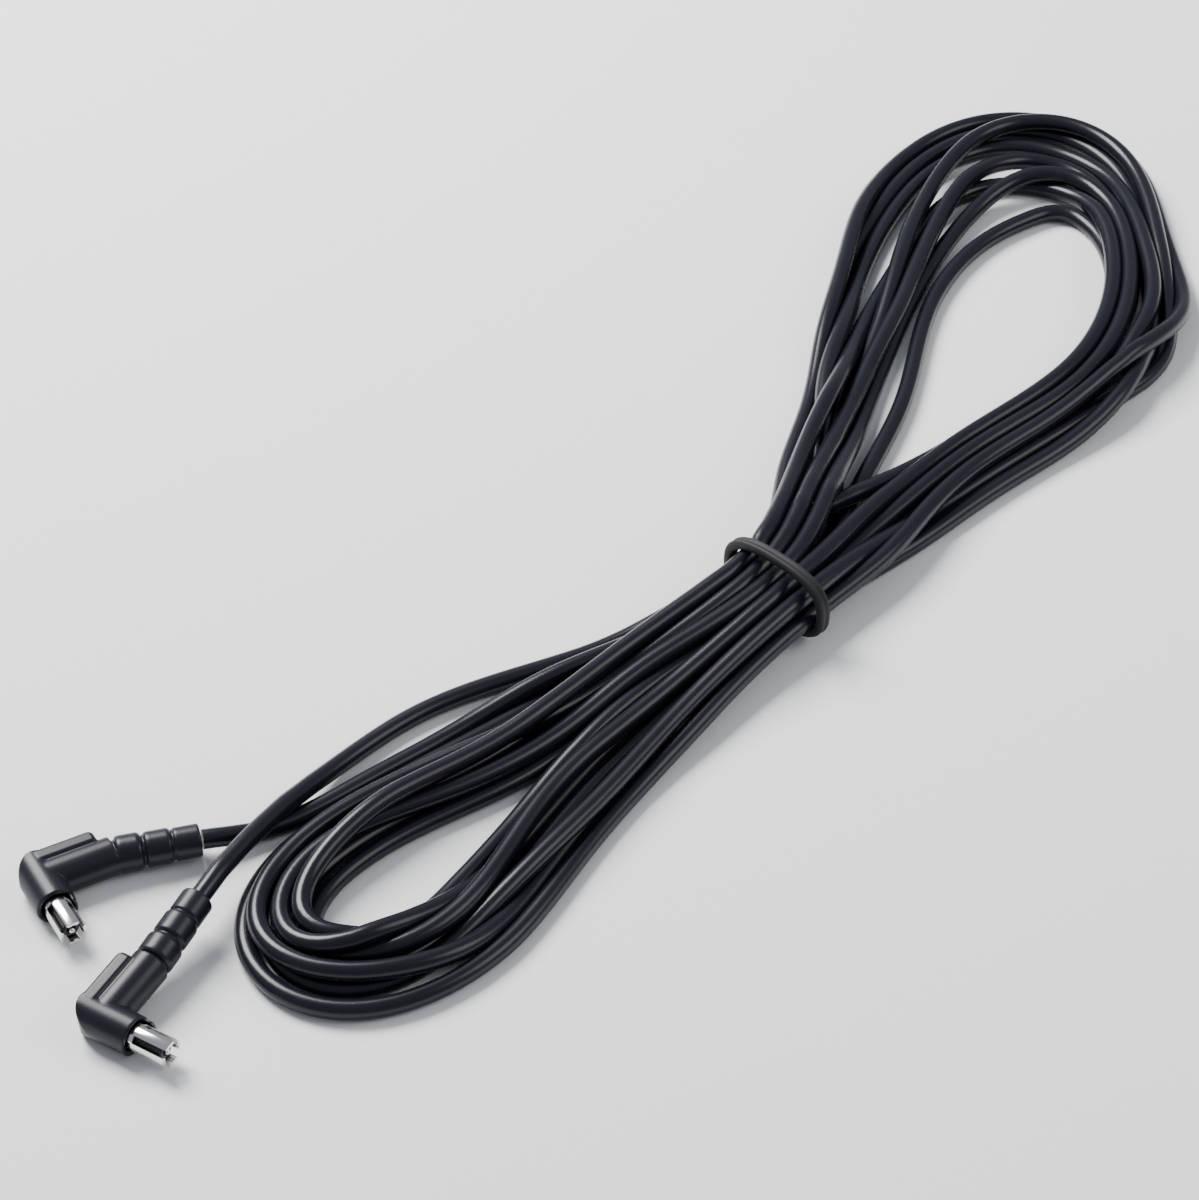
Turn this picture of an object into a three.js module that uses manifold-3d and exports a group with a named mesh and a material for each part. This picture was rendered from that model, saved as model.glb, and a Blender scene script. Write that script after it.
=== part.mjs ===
// Flash sync cable: one long two-core cord folded into a hank of two open loops, pinched at the
// waist by a rubber tie, with a moulded right-angle sync plug on each end. Millimetres, +Z up.
// The hank is modelled around the middle of its tie, and the finished part is then set down with
// the bottom centre of its bounding box at the origin.

import * as THREE from 'three';
import { mergeVertices } from 'three/addons/utils/BufferGeometryUtils.js';
import Module from 'manifold-3d';

const wasm = await Module();
wasm.setup();

// Cord
const CORD_DIAMETER = 3.4;
const CORD_SIDES = 8;
const CORD_STEP = 8.5;
const MESH_GAP = 0.3;
// How far a cutter runs past the face that it opens
const CUT_PAST = 1;

// Tie: a flat rubber band, closed round the waist
const TIE_INNER_WIDTH = 20.4;
const TIE_INNER_HEIGHT = 11.2;
const TIE_WALL = 1.8;
const TIE_BAND = 2.4;
const TIE_ANGLE = 45;
const TIE_BITE = 3;

// Waist: where all the turns run side by side through the tie
const WAIST_ANGLE = 58;
const WAIST_WIDTH = 18.6;
const WAIST_HEIGHT = 10.4;
const WAIST_LENGTH = 28;

// Plug: the moulding's head lies along the plug's own X, its leg and boot along its own Y
const HEAD_DIAMETER = 6.8;
const HEAD_REACH = 6.4;
const LID_BACK = 4.3;
const LID_THICKNESS = 2.8;
const LID_LENGTH = 10.9;
const LID_CORNER = 1;
const ELBOW_RADIUS = 3.8;
const LEG_DIAMETER = 6.6;
const LEG_LENGTH = 12.6;
const BOOT_DIAMETER = 6.4;
const BOOT_NECK_DIAMETER = 5;
const BOOT_RIBS = 3;
const BOOT_RIB_LENGTH = 4;
const BOOT_NECK_LENGTH = 0.85;
const BOOT_TAPER = 0.4;
const BOOT_ROOT = 1;
const LIP_THICKNESS = 0.5;
const LIP_LENGTH = 1.6;
const LIP_HALF_ANGLE = 38;

// Sync connector in the head: slotted spring sleeve, insulator and centre pin on one axis
const SLEEVE_DIAMETER = 4.7;
const SLEEVE_BORE = 3.5;
const SLEEVE_REACH = 7;
const SLEEVE_SEAT = 3;
const SLOT_WIDTH = 1.3;
const SLOT_START = 0.9;
const SLOT_COUNT = 4;
const PIN_DIAMETER = 1;
const PIN_RECESS = 0.4;
const INSULATOR_LENGTH = 8.6;

const ROUND_SIDES = 32;
const SMALL_SIDES = 20;
const CORNER_STEPS = 8;
const WELD_DISTANCE = 0.00001;

// Each station of a loop is the middle of its bundle of turns, in plan, with the bundle's width,
// its underside and its height
const UPPER_LOOP = [
  [2.5, 9, 14, 1.6, 9.8],
  [4.5, 19, 13, 0.6, 9.2],
  [7, 31, 12.5, 0, 8.5],
  [11, 48, 13, 0, 7.5],
  [14.5, 62, 14, 0, 6.8],
  [18, 78, 15.5, 0, 6.8],
  [21.5, 93, 17, 0, 6.8],
  [25.5, 107, 19, 0, 6.8],
  [31, 121, 21, 0, 6.8],
  [40, 135, 23, 0, 6.8],
  [54, 144, 26, 0, 6.8],
  [68, 139, 23, 0, 6.8],
  [75, 126, 16, 0, 6.8],
  [76, 108, 13, 0, 6.8],
  [75.5, 92, 16, 0, 6.8],
  [71, 78, 17, 0, 6.8],
  [62.5, 65, 18, 0, 6.8],
  [51, 52.5, 18, 0, 7.5],
  [37, 40.5, 17.5, 0, 8],
  [20, 25, 16.5, 0, 9],
  [7, 9.5, 15, 1.4, 9.6],
];
const LOWER_LOOP = [
  [-4, -9, 14, 1.4, 9.6],
  [-9, -17, 14.5, 0.6, 9.2],
  [-19, -29, 16, 0, 8.5],
  [-34.5, -50, 16.5, 0, 7.5],
  [-43, -64, 15.5, 0, 6.8],
  [-52.5, -78, 15.5, 0, 6.8],
  [-60.5, -86, 15.5, 0, 6.8],
  [-69, -90, 17, 0, 6.8],
  [-78, -88.5, 17, 0, 6.8],
  [-83, -81, 13.5, 0, 6.8],
  [-82.5, -72, 13.5, 0, 6.8],
  [-77, -62.5, 14, 0, 6.8],
  [-68, -53.5, 14, 0, 6.8],
  [-55, -44.5, 15, 0, 6.8],
  [-44, -37, 16, 0, 7.5],
  [-30, -23, 16.5, 0, 9],
  [-14, -10.5, 15.5, 1, 9.6],
  [-7.5, -6, 14, 1.6, 9.8],
];
const LOOP_STEPS = 44;
const SECTION_POINTS = 12;
const SECTION_SQUARENESS = 0.7;

// Free stretches of cord, through points chosen by eye
const LEAD_UPPER = [
  [-96.4, -59.5, 3.4], [-94.5, -59, 3.3], [-90, -57.4, 2.6], [-83.5, -54.4, 1.7],
  [-76, -49.6, 1.7], [-70.5, -44.6, 1.7], [-65.5, -40.2, 1.7], [-60, -36, 1.7], [-55.5, -32, 1.7],
  [-49.5, -27, 1.7], [-44, -23.6, 2.2], [-38.5, -20.8, 3.6], [-33, -18.4, 4.8],
  [-27, -14, 5.8], [-21, -7.5, 6.5],
];
const LEAD_LOWER = [
  [-95.4, -76.4, 6.7], [-94.6, -74.9, 6.9], [-91.5, -68.5, 7.2], [-87.7, -61.4, 7],
  [-83.5, -54, 6.3], [-79, -46.5, 4.8], [-73.5, -39, 2.9], [-66.5, -30, 1.8],
  [-60.5, -24.8, 1.7], [-55, -21.7, 1.7], [-50, -19.4, 1.7], [-44, -16.8, 1.7],
  [-38.5, -14.7, 1.7], [-33, -12.8, 1.7], [-27, -9.4, 2], [-21, -3.5, 2.6],
];
const INNER_TURN = [
  [15.5, 32.5, 4], [19.9, 42, 1.7], [23.4, 52, 1.7], [27.1, 66.5, 1.7], [29.8, 82, 1.7],
  [34, 94, 1.7], [42, 109.5, 1.7], [49.5, 115.8, 1.7], [57.5, 119, 1.7], [70, 118.5, 1.7],
];

// Each plug lies at the start of its lead: the turn of its sleeve about the vertical, the rise of
// its leg and the bend of its soft boot
const PLUGS = [
  { tag: 'upper', lead: LEAD_UPPER, turn: -61, rise: 0, bend: -14 },
  { tag: 'lower', lead: LEAD_LOWER, turn: -32, rise: 7, bend: 5 },
];

const radians = (degrees) => degrees * Math.PI / 180;
const HALF_TURN = radians(180);
const QUARTER_TURN = radians(90);
const X_AXIS = new THREE.Vector3(1, 0, 0);
const Y_AXIS = new THREE.Vector3(0, 1, 0);
const Z_AXIS = new THREE.Vector3(0, 0, 1);

// Stands a shape drawn in plan on edge: its width along Y, its height up, its depth along X
const ON_EDGE = new THREE.Matrix4().makeBasis(Y_AXIS, Z_AXIS, X_AXIS);

function solidFrom(geometry, matrix = new THREE.Matrix4()) {
  const bare = geometry.clone().applyMatrix4(matrix);
  bare.deleteAttribute('normal');
  bare.deleteAttribute('uv');
  const welded = mergeVertices(bare, WELD_DISTANCE);
  return new wasm.Manifold(new wasm.Mesh({
    numProp: 3,
    vertProperties: new Float32Array(welded.attributes.position.array),
    triVerts: new Uint32Array(welded.index.array),
  }));
}

function geometryFrom(solid) {
  const mesh = solid.getMesh();
  const geometry = new THREE.BufferGeometry();
  geometry.setAttribute('position', new THREE.BufferAttribute(mesh.vertProperties, 3));
  geometry.setIndex(new THREE.BufferAttribute(mesh.triVerts, 1));
  geometry.computeVertexNormals();
  return geometry;
}

const joined = (solids) => solids.reduce((whole, piece) => whole.add(piece));

// The main body of a solid, without the specks that grazing curved faces leave behind
function mainBody(solid) {
  return solid.decompose().reduce((best, body) => (body.volume() > best.volume() ? body : best));
}

// A cylinder whose axis runs along X from one place to another
function rodAlongX(diameter, from, to, sides = ROUND_SIDES) {
  const rod = new THREE.CylinderGeometry(diameter / 2, diameter / 2, to - from, sides);
  return solidFrom(rod.rotateZ(QUARTER_TURN).translate((from + to) / 2, 0, 0));
}

// A closed body through level rows of points, each row a section across the path
function loft(rows) {
  const count = rows[0].length;
  const points = rows.flat();
  const faces = [];
  for (let row = 0; row < rows.length - 1; row += 1) {
    for (let side = 0; side < count; side += 1) {
      const next = (side + 1) % count;
      const a = row * count + side;
      const b = row * count + next;
      faces.push(a, a + count, b, b, a + count, b + count);
    }
  }
  const last = (rows.length - 1) * count;
  for (let side = 1; side < count - 1; side += 1) {
    faces.push(0, side, side + 1);
    faces.push(last, last + side + 1, last + side);
  }
  const geometry = new THREE.BufferGeometry().setFromPoints(points);
  geometry.setIndex(faces);
  return solidFrom(geometry);
}

// A rounded-off rectangle standing on its underside, square to the path in plan
function bundleSection(middle, heading, width, underside, height) {
  const across = new THREE.Vector3(heading.y, -heading.x, 0).normalize();
  const round = (value) => Math.sign(value) * Math.abs(value) ** SECTION_SQUARENESS;
  const ring = [];
  for (let corner = 0; corner < SECTION_POINTS; corner += 1) {
    const angle = 2 * HALF_TURN * (corner + 0.5) / SECTION_POINTS;
    const point = middle.clone().addScaledVector(across, round(Math.cos(angle)) * width / 2);
    point.z = underside + (height / 2) * (1 + round(Math.sin(angle)));
    ring.push(point);
  }
  return ring;
}

function loopBundle(stations) {
  const path = new THREE.CatmullRomCurve3(stations.map(([x, y]) => new THREE.Vector3(x, y, 0)));
  const sizes = new THREE.CatmullRomCurve3(
    stations.map(([, , width, underside, height]) => new THREE.Vector3(width, underside, height)),
  );
  const rows = [];
  for (let step = 0; step <= LOOP_STEPS; step += 1) {
    const t = step / LOOP_STEPS;
    const size = sizes.getPoint(t);
    const heading = path.getTangent(t);
    rows.push(bundleSection(path.getPoint(t), heading, size.x, Math.max(size.y, 0), size.z));
  }
  return loft(rows);
}

const TIE_MIDDLE_HEIGHT = TIE_INNER_HEIGHT / 2 + TIE_WALL;

// A frame at the middle of the tie: Z level, along the given heading, X across it, Y up
function waistFrame(heading) {
  const turn = new THREE.Matrix4().makeRotationZ(radians(heading));
  const lift = new THREE.Matrix4().makeTranslation(0, 0, TIE_MIDDLE_HEIGHT);
  return lift.multiply(turn).multiply(ON_EDGE);
}

function ellipsePrism(width, height, length, hole) {
  const outline = new THREE.Shape().absellipse(0, 0, width / 2, height / 2, 0, 2 * HALF_TURN);
  if (hole) {
    outline.holes.push(new THREE.Path().absellipse(0, 0, hole.width / 2, hole.height / 2,
      0, 2 * HALF_TURN));
  }
  const geometry = new THREE.ExtrudeGeometry(outline, {
    depth: length, bevelEnabled: false, curveSegments: ROUND_SIDES,
  });
  return geometry.translate(0, 0, -length / 2);
}

function makeTie() {
  const hole = { width: TIE_INNER_WIDTH, height: TIE_INNER_HEIGHT };
  const band = ellipsePrism(TIE_INNER_WIDTH + 2 * TIE_WALL, TIE_INNER_HEIGHT + 2 * TIE_WALL,
    TIE_BAND, hole);
  return solidFrom(band, waistFrame(TIE_ANGLE));
}

// Room that the tie needs: the hank narrows there to the tie's inside, less a gap
function nippedByTie(hank) {
  const slotWidth = 3 * TIE_INNER_WIDTH;
  const slot = new THREE.BoxGeometry(slotWidth, slotWidth, TIE_BAND + 2 * MESH_GAP);
  const neck = ellipsePrism(TIE_INNER_WIDTH - 2 * MESH_GAP, TIE_INNER_HEIGHT - 2 * MESH_GAP,
    TIE_BAND + 2 * TIE_BITE);
  const frame = waistFrame(TIE_ANGLE);
  return hank.subtract(solidFrom(slot, frame)).add(solidFrom(neck, frame));
}

function cordTube(points, diameter, sides = CORD_SIDES) {
  const path = new THREE.CatmullRomCurve3(points.map((point) => new THREE.Vector3(...point)));
  const section = new THREE.Shape();
  for (let corner = 0; corner < sides; corner += 1) {
    const angle = 2 * HALF_TURN * (corner + 0.5) / sides;
    const place = [Math.cos(angle) * diameter / 2, Math.sin(angle) * diameter / 2];
    if (corner === 0) section.moveTo(...place);
    else section.lineTo(...place);
  }
  section.closePath();
  const steps = Math.round(path.getLength() / CORD_STEP);
  return solidFrom(new THREE.ExtrudeGeometry(section, {
    steps, bevelEnabled: false, extrudePath: path,
  }));
}

const HEAD_HEIGHT = HEAD_DIAMETER / 2;
const BOOT_START = LEG_LENGTH;
const BOOT_END = BOOT_START + BOOT_RIBS * (BOOT_RIB_LENGTH + BOOT_NECK_LENGTH);

// The head's back lid and outer corner, seen from above
function headOutline() {
  const side = HEAD_DIAMETER / 2;
  const outline = new THREE.Shape();
  outline.moveTo(HEAD_REACH, -side);
  outline.lineTo(HEAD_REACH, side);
  outline.lineTo(LID_THICKNESS - LID_BACK, side);
  outline.lineTo(LID_THICKNESS - LID_BACK, LID_LENGTH);
  outline.lineTo(LID_CORNER - LID_BACK, LID_LENGTH);
  outline.lineTo(-LID_BACK, LID_LENGTH - LID_CORNER);
  outline.lineTo(-LID_BACK, ELBOW_RADIUS - side);
  outline.absarc(ELBOW_RADIUS - LID_BACK, ELBOW_RADIUS - side, ELBOW_RADIUS,
    HALF_TURN, HALF_TURN + QUARTER_TURN);
  outline.closePath();
  return outline;
}

// The boot bends where it leaves the leg
function makeBoot(bend) {
  const throat = BOOT_NECK_DIAMETER / 2;
  const root = BOOT_START - BOOT_ROOT;
  const profile = [new THREE.Vector2(0, root), new THREE.Vector2(throat, root)];
  for (let rib = 0; rib < BOOT_RIBS; rib += 1) {
    const foot = BOOT_START + rib * (BOOT_RIB_LENGTH + BOOT_NECK_LENGTH);
    const radius = (BOOT_DIAMETER - rib * BOOT_TAPER) / 2;
    const chamfer = radius - throat;
    profile.push(new THREE.Vector2(throat, foot + BOOT_NECK_LENGTH / 2));
    profile.push(new THREE.Vector2(radius, foot + BOOT_NECK_LENGTH / 2 + chamfer));
    profile.push(new THREE.Vector2(radius, foot + BOOT_NECK_LENGTH + BOOT_RIB_LENGTH - chamfer));
    profile.push(new THREE.Vector2(throat, foot + BOOT_NECK_LENGTH + BOOT_RIB_LENGTH));
  }
  profile.push(new THREE.Vector2(0, BOOT_END));
  const boot = new THREE.LatheGeometry(profile, SMALL_SIDES).translate(0, -LEG_LENGTH, 0);
  return solidFrom(boot.rotateZ(radians(bend)).translate(0, LEG_LENGTH, 0));
}

function makeLip() {
  const inner = SLEEVE_DIAMETER / 2 + MESH_GAP;
  const outer = inner + LIP_THICKNESS;
  const half = radians(LIP_HALF_ANGLE);
  const arc = new THREE.Shape();
  arc.absarc(0, 0, outer, -half, half);
  arc.absarc(0, 0, inner, half, -half, true);
  arc.closePath();
  const lip = new THREE.ExtrudeGeometry(arc, {
    depth: LIP_LENGTH + SLEEVE_SEAT / 2, bevelEnabled: false, curveSegments: CORNER_STEPS,
  });
  const place = new THREE.Matrix4().makeTranslation(HEAD_REACH - SLEEVE_SEAT / 2, 0, 0);
  return solidFrom(lip, place.multiply(ON_EDGE));
}

function makePlugBody(bend) {
  const lid = new THREE.BoxGeometry(LID_THICKNESS, LID_LENGTH, HEAD_DIAMETER)
    .translate(LID_THICKNESS / 2 - LID_BACK, LID_LENGTH / 2, 0);
  const plan = new THREE.ExtrudeGeometry(headOutline(), {
    depth: 2 * HEAD_DIAMETER, bevelEnabled: false, curveSegments: CORNER_STEPS,
  });
  const head = rodAlongX(HEAD_DIAMETER, -LID_BACK, HEAD_REACH)
    .add(solidFrom(lid))
    .intersect(solidFrom(plan.translate(0, 0, -HEAD_DIAMETER)));
  const leg = new THREE.CylinderGeometry(LEG_DIAMETER / 2, LEG_DIAMETER / 2, LEG_LENGTH,
    ROUND_SIDES);
  const legSolid = solidFrom(leg.translate(0, LEG_LENGTH / 2, 0));
  const bore = rodAlongX(SLEEVE_DIAMETER + 2 * MESH_GAP, HEAD_REACH - SLEEVE_SEAT,
    HEAD_REACH + LIP_LENGTH + CUT_PAST);
  return joined([head, legSolid, makeBoot(bend), makeLip()]).subtract(bore);
}

function makeSleeve() {
  const back = HEAD_REACH - SLEEVE_SEAT + MESH_GAP;
  const tip = HEAD_REACH + SLEEVE_REACH;
  let sleeve = rodAlongX(SLEEVE_DIAMETER, back, tip)
    .subtract(rodAlongX(SLEEVE_BORE, back - CUT_PAST, tip + CUT_PAST));
  const slotFrom = HEAD_REACH + SLOT_START;
  const slotLength = tip + CUT_PAST - slotFrom;
  for (let index = 0; index < SLOT_COUNT / 2; index += 1) {
    const slot = new THREE.BoxGeometry(slotLength, 2 * SLEEVE_DIAMETER, SLOT_WIDTH);
    slot.rotateX(HALF_TURN * (index + 0.5) / (SLOT_COUNT / 2));
    sleeve = sleeve.subtract(solidFrom(slot.translate(slotFrom + slotLength / 2, 0, 0)));
  }
  return sleeve;
}

function makePin() {
  const back = HEAD_REACH - SLEEVE_SEAT + MESH_GAP;
  const tip = HEAD_REACH + SLEEVE_REACH - PIN_RECESS;
  const radius = PIN_DIAMETER / 2;
  const profile = [
    new THREE.Vector2(0, back), new THREE.Vector2(radius, back),
    new THREE.Vector2(radius, tip - radius), new THREE.Vector2(radius / 2, tip - radius / 8),
    new THREE.Vector2(0, tip),
  ];
  return solidFrom(new THREE.LatheGeometry(profile, SMALL_SIDES).rotateZ(-QUARTER_TURN));
}

function makeInsulator() {
  const back = HEAD_REACH - SLEEVE_SEAT + MESH_GAP;
  const front = back + INSULATOR_LENGTH;
  const hole = rodAlongX(PIN_DIAMETER + 2 * MESH_GAP, back - CUT_PAST, front + CUT_PAST,
    SMALL_SIDES);
  return rodAlongX(SLEEVE_BORE - 2 * MESH_GAP, back, front, SMALL_SIDES).subtract(hole);
}

const black = new THREE.MeshStandardMaterial({ color: 0x14141a, roughness: 0.45, metalness: 0 });
const rubber = new THREE.MeshStandardMaterial({ color: 0x2a2a2e, roughness: 0.85, metalness: 0 });
const nickel = new THREE.MeshStandardMaterial({ color: 0xd9d9d6, roughness: 0.2, metalness: 1 });
const darkInsulator = new THREE.MeshStandardMaterial({ color: 0x0c0c0e, roughness: 0.6, metalness: 0 });

function named(name, solid, material) {
  const mesh = new THREE.Mesh(geometryFrom(solid), material);
  mesh.name = name;
  return mesh;
}

// The plug's two axes cross a leg, a bent boot and a gap back from the start of its lead
function makePlug({ tag, lead, turn, rise, bend }) {
  const plug = new THREE.Group();
  plug.add(named(`plug_body_${tag}`, makePlugBody(bend), black));
  plug.add(named(`spring_sleeve_${tag}`, makeSleeve(), nickel));
  plug.add(named(`centre_pin_${tag}`, makePin(), nickel));
  plug.add(named(`pin_insulator_${tag}`, makeInsulator(), darkInsulator));
  plug.rotateZ(radians(turn)).rotateX(radians(rise));
  const bootHeading = Y_AXIS.clone().applyAxisAngle(Z_AXIS, radians(bend));
  const leadStart = new THREE.Vector3(0, LEG_LENGTH, 0)
    .addScaledVector(bootHeading, BOOT_END - LEG_LENGTH + MESH_GAP)
    .applyQuaternion(plug.quaternion);
  const [leadX, leadY] = lead[0];
  plug.position.set(leadX - leadStart.x, leadY - leadStart.y, HEAD_HEIGHT);
  return plug;
}

const leads = [LEAD_UPPER, LEAD_LOWER, INNER_TURN];
const grooves = leads.map((points) => cordTube(points, CORD_DIAMETER + 2 * MESH_GAP));
const waist = solidFrom(ellipsePrism(WAIST_WIDTH, WAIST_HEIGHT, WAIST_LENGTH),
  waistFrame(WAIST_ANGLE));
const bundle = nippedByTie(joined([loopBundle(UPPER_LOOP), loopBundle(LOWER_LOOP), waist]));
const hank = mainBody(grooves.reduce((solid, groove) => solid.subtract(groove), bundle));

const model = new THREE.Group();
model.add(named('cable_hank', hank, black));
model.add(named('hank_tie', makeTie(), rubber));
model.add(named('lead_upper', cordTube(LEAD_UPPER, CORD_DIAMETER), black));
model.add(named('lead_lower', cordTube(LEAD_LOWER, CORD_DIAMETER), black));
model.add(named('inner_turn', cordTube(INNER_TURN, CORD_DIAMETER), black));
PLUGS.forEach((plug) => model.add(makePlug(plug)));

model.updateMatrixWorld(true);
const extent = new THREE.Box3().setFromObject(model, true);
const middle = extent.getCenter(new THREE.Vector3());
model.position.set(-middle.x, -middle.y, -extent.min.z);

export default model;
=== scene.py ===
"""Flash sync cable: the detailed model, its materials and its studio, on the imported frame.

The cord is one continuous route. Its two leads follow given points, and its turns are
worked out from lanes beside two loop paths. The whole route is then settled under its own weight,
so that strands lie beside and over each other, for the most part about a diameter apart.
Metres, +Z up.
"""

from math import cos, pi, radians, sin

import bmesh
import bpy
import numpy as np
from bpy.props import FloatProperty, FloatVectorProperty, IntProperty, PointerProperty
from mathutils import Matrix, Vector


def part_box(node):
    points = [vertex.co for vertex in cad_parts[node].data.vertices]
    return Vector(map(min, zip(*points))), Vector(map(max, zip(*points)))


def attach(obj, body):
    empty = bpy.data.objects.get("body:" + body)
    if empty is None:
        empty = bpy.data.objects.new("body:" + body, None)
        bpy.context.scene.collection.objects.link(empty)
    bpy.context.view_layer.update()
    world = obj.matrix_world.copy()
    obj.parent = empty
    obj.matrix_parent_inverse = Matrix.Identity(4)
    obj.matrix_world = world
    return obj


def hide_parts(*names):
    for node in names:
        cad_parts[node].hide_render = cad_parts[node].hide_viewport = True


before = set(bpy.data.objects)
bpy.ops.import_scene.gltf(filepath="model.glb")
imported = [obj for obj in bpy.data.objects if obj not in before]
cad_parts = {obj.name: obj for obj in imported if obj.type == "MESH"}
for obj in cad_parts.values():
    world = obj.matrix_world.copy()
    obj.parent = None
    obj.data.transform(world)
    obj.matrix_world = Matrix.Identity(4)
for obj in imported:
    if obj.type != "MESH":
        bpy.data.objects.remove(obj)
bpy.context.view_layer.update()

bl_info = {
    "name": "Flash Sync Cable",
    "version": (1, 0, 0),
    "blender": (4, 5, 0),
    "location": "View3D > Sidebar > Sync Cable",
    "description": "Builds a tied hank of sync cord with two right-angle plugs, and its studio",
    "category": "Object",
}

BODY = "root"

# The middle of the tie, from which the route and the plugs are measured
TIE_LOW, TIE_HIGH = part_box("hank_tie")
ORIGIN = Vector(((TIE_LOW.x + TIE_HIGH.x) / 2, (TIE_LOW.y + TIE_HIGH.y) / 2, 0.0))

# The turns of the hank in the order that the cord takes them. Each has a slot in the tie on its
# way up into the upper loop and another on its way down: its place across the tie in cord
# diameters, and its row from -1 at the bottom to 1 at the top.
TURN_ORDER = "ACFDBEXG"
SLOTS_UP = {
    "A": (-1.5, 0), "B": (-1.0, -1), "C": (-2.0, -1), "D": (-0.5, 0),
    "E": (-1.0, 1), "F": (0.0, 1), "G": (0.0, -1), "X": (-2.0, 1),
}
SLOTS_DOWN = {
    "A": (2.5, 0), "B": (2.0, -1), "C": (1.0, -1), "D": (2.0, 1),
    "E": (0.5, 0), "F": (1.5, 0), "G": (-2.5, 0), "X": (1.0, 1),
}

# The middle lines of the two loops, clockwise from above
UPPER_PATH = [
    (0.0025, 0.009), (0.0045, 0.019), (0.007, 0.031), (0.011, 0.048), (0.0145, 0.062),
    (0.018, 0.078), (0.0215, 0.093), (0.0255, 0.107), (0.031, 0.121), (0.04, 0.135),
    (0.054, 0.144), (0.068, 0.139), (0.075, 0.126), (0.076, 0.108), (0.0755, 0.092),
    (0.071, 0.078), (0.0625, 0.065), (0.051, 0.0525), (0.037, 0.0405), (0.02, 0.025),
    (0.007, 0.0095),
]
LOWER_PATH = [
    (-0.004, -0.009), (-0.009, -0.017), (-0.019, -0.029), (-0.0345, -0.05), (-0.043, -0.064),
    (-0.0525, -0.078), (-0.0605, -0.086), (-0.069, -0.09), (-0.078, -0.0885), (-0.083, -0.081),
    (-0.0825, -0.072), (-0.077, -0.0625), (-0.068, -0.0535), (-0.055, -0.0445), (-0.044, -0.037),
    (-0.03, -0.023), (-0.014, -0.0105), (-0.0075, -0.006),
]

# At numbered points of a path, each turn's distance inward from it and its height
UPPER_LANES = {
    2: {"A": (-0.0046, 0.0036), "B": (-0.0018, 0.0046), "C": (0.001, 0.0046),
        "D": (0.0036, 0.0042), "E": (0.0006, 0.0078), "F": (0.0046, 0.0074), "G": (0.0072, 0.0019),
        "X": (-0.0028, 0.0076)},
    4: {"A": (-0.0044, 0.0017), "B": (-0.0014, 0.0017), "C": (-0.0029, 0.0046),
        "D": (0.0015, 0.0017), "E": (0.0032, 0.0047), "F": (0.005, 0.0017), "G": (0.0124, 0.0017),
        "X": (-0.0014, 0.0074)},
    6: {"A": (-0.0055, 0.0046), "B": (-0.007, 0.0017), "C": (-0.0036, 0.0017),
        "D": (0.0037, 0.005), "E": (0.007, 0.0051), "F": (0.0072, 0.0017), "G": (0.0114, 0.0017),
        "X": (0.0035, 0.0017)},
    8: {"A": (-0.0084, 0.0046), "B": (-0.0066, 0.0017), "C": (-0.0032, 0.0017),
        "D": (0.0027, 0.005), "E": (0.0075, 0.005), "F": (0.011, 0.0017), "G": (0.0156, 0.0017),
        "X": (0.004, 0.0017)},
    9: {"A": (-0.0114, 0.003), "B": (-0.0076, 0.0017), "C": (-0.0042, 0.0017),
        "D": (-0.0008, 0.005), "E": (0.0048, 0.0048), "F": (0.0104, 0.0034), "G": (0.021, 0.0017),
        "X": (0.0034, 0.0017)},
    10: {"A": (-0.014, 0.0017), "B": (-0.0096, 0.0017), "C": (-0.0042, 0.0017),
        "D": (-0.0082, 0.0051), "E": (0.0026, 0.0048), "F": (0.011, 0.0046), "G": (0.0288, 0.0017),
        "X": (0.0128, 0.0017)},
    11: {"A": (-0.0107, 0.0017), "B": (-0.0071, 0.0017), "C": (-0.001, 0.0017),
        "D": (-0.0082, 0.0051), "E": (0.0006, 0.0048), "F": (0.007, 0.0048), "G": (0.0214, 0.0017),
        "X": (0.0088, 0.0017)},
    12: {"A": (-0.0052, 0.0017), "B": (-0.0016, 0.0017), "C": (0.0006, 0.0051),
        "D": (-0.0036, 0.0051), "E": (0.0023, 0.0017), "F": (0.0042, 0.0051),
        "G": (0.0074, 0.0017), "X": (0.0077, 0.0051)},
    13: {"A": (-0.0034, 0.0017), "B": (-0.0008, 0.0017), "C": (0.0, 0.0051),
        "D": (-0.0028, 0.0051), "E": (0.0027, 0.0017), "F": (0.0034, 0.0051),
        "G": (0.0062, 0.0017), "X": (0.0066, 0.0051)},
    14: {"A": (-0.0054, 0.0017), "B": (-0.0029, 0.0017), "C": (-0.0022, 0.005),
        "D": (-0.0044, 0.0048), "E": (0.0027, 0.0017), "F": (0.0034, 0.0049),
        "G": (0.0062, 0.0017), "X": (0.0064, 0.005)},
    15: {"A": (-0.0064, 0.0047), "B": (-0.0034, 0.0017), "C": (-0.0034, 0.0048),
        "D": (-0.0062, 0.0017), "E": (0.0039, 0.0017), "F": (0.0036, 0.0049),
        "G": (0.0074, 0.0017), "X": (0.0068, 0.0049)},
    16: {"A": (-0.0022, 0.0047), "B": (-0.0072, 0.0017), "C": (-0.0004, 0.0017),
        "D": (-0.0038, 0.0017), "E": (0.003, 0.0017), "F": (0.0013, 0.0047), "G": (0.0064, 0.0017),
        "X": (0.0049, 0.0047)},
    18: {"A": (-0.0022, 0.0049), "B": (-0.0069, 0.0017), "C": (0.0, 0.0017),
        "D": (-0.0034, 0.0017), "E": (0.0034, 0.0019), "F": (0.0009, 0.0048),
        "G": (0.0068, 0.0017), "X": (0.0042, 0.005)},
}
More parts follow.
